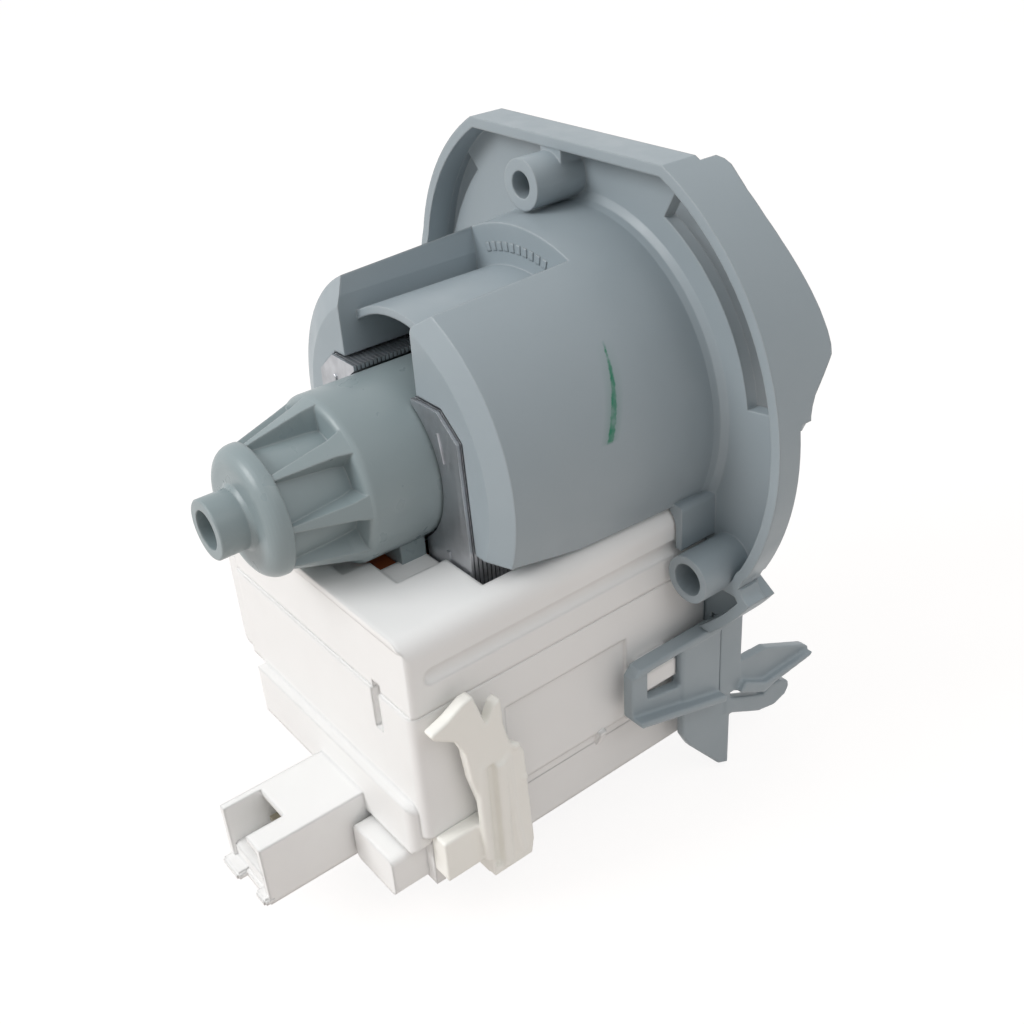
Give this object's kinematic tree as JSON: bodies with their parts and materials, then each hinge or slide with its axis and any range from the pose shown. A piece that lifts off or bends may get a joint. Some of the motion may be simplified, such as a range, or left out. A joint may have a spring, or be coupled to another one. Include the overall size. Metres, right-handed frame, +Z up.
{
  "type": "dishwasher drain pump",
  "caption": "Dishwasher drain pump: grey pump body with a twist-lock flange, ribbed rotor can, laminated stator and a white coil housing with plug socket and snap latches.",
  "frame": {"origin": "on the pump axis, in the front face of the flange plate", "axes": "+Y along the pump axis from the ribbed nose to the flange and impeller, +Z up, away from the coil housing, +X to the side with the snap latches"},
  "size_m": [0.079, 0.0917, 0.0969],
  "materials": {
    "grey_plastic": "moulded, fine satin",
    "can_plastic": "moulded, fine satin",
    "white_plastic": "moulded, satin",
    "clip_plastic": "moulded, satin",
    "ivory_plastic": "moulded, satin",
    "impeller_plastic": "moulded, satin",
    "lamination_steel": "rolled and stamped",
    "shaft_steel": "ground",
    "contact_metal": "tinned",
    "copper_wire": "enamelled",
    "carbon": "ground",
    "ferrite": "sintered",
    "rubber": "moulded"
  },
  "bodies": {
    "pump": {"pump_body": "grey_plastic", "rotor_can": "can_plastic", "can_seal": "rubber", "stator_core": "lamination_steel", "bobbin_left": "white_plastic", "bobbin_right": "white_plastic", "winding_left": "copper_wire", "winding_right": "copper_wire", "coil_housing": "white_plastic", "coil_cover": "white_plastic", "terminal_pins": "contact_metal", "thermal_protector": "ivory_plastic", "cable_clip": "clip_plastic", "bearing_plate": "can_plastic", "plate_seal": "rubber", "flange_gasket": "rubber", "rear_bushing": "carbon", "bushing_holder": "rubber", "front_bushing": "carbon"},
    "rotor": {"rotor_shaft": "shaft_steel", "rotor_magnet": "ferrite", "magnet_carrier": "ivory_plastic", "thrust_washers": "ivory_plastic", "drive_dog": "ivory_plastic", "impeller_cap": "impeller_plastic"},
    "wheel": {"impeller": "impeller_plastic"},
    "latch": {"latch_arm": "grey_plastic"},
    "lever": {"lock_lever": "grey_plastic"}
  },
  "joints": [
    {"name": "rotor_spin", "type": "hinge", "parent": "pump", "child": "rotor", "pos_m": [0, 0, 0], "axis": [0, 1, 0], "continuous": true},
    {"name": "impeller_play", "type": "hinge", "parent": "rotor", "child": "wheel", "pos_m": [0, 0.0101, 0], "axis": [0, 1, 0], "range_deg": [-88, 88]},
    {"name": "latch_flex", "type": "hinge", "parent": "pump", "child": "latch", "pos_m": [0.0263, -0.0023, -0.038], "axis": [0, 0, 1], "range_deg": [0, 7], "stiffness_Nm_per_rad": 0.5},
    {"name": "lever_flex", "type": "hinge", "parent": "pump", "child": "lever", "pos_m": [0.026, 0.0003, -0.0325], "axis": [0, -1, 0], "range_deg": [0, 6], "stiffness_Nm_per_rad": 0.6}
  ]
}
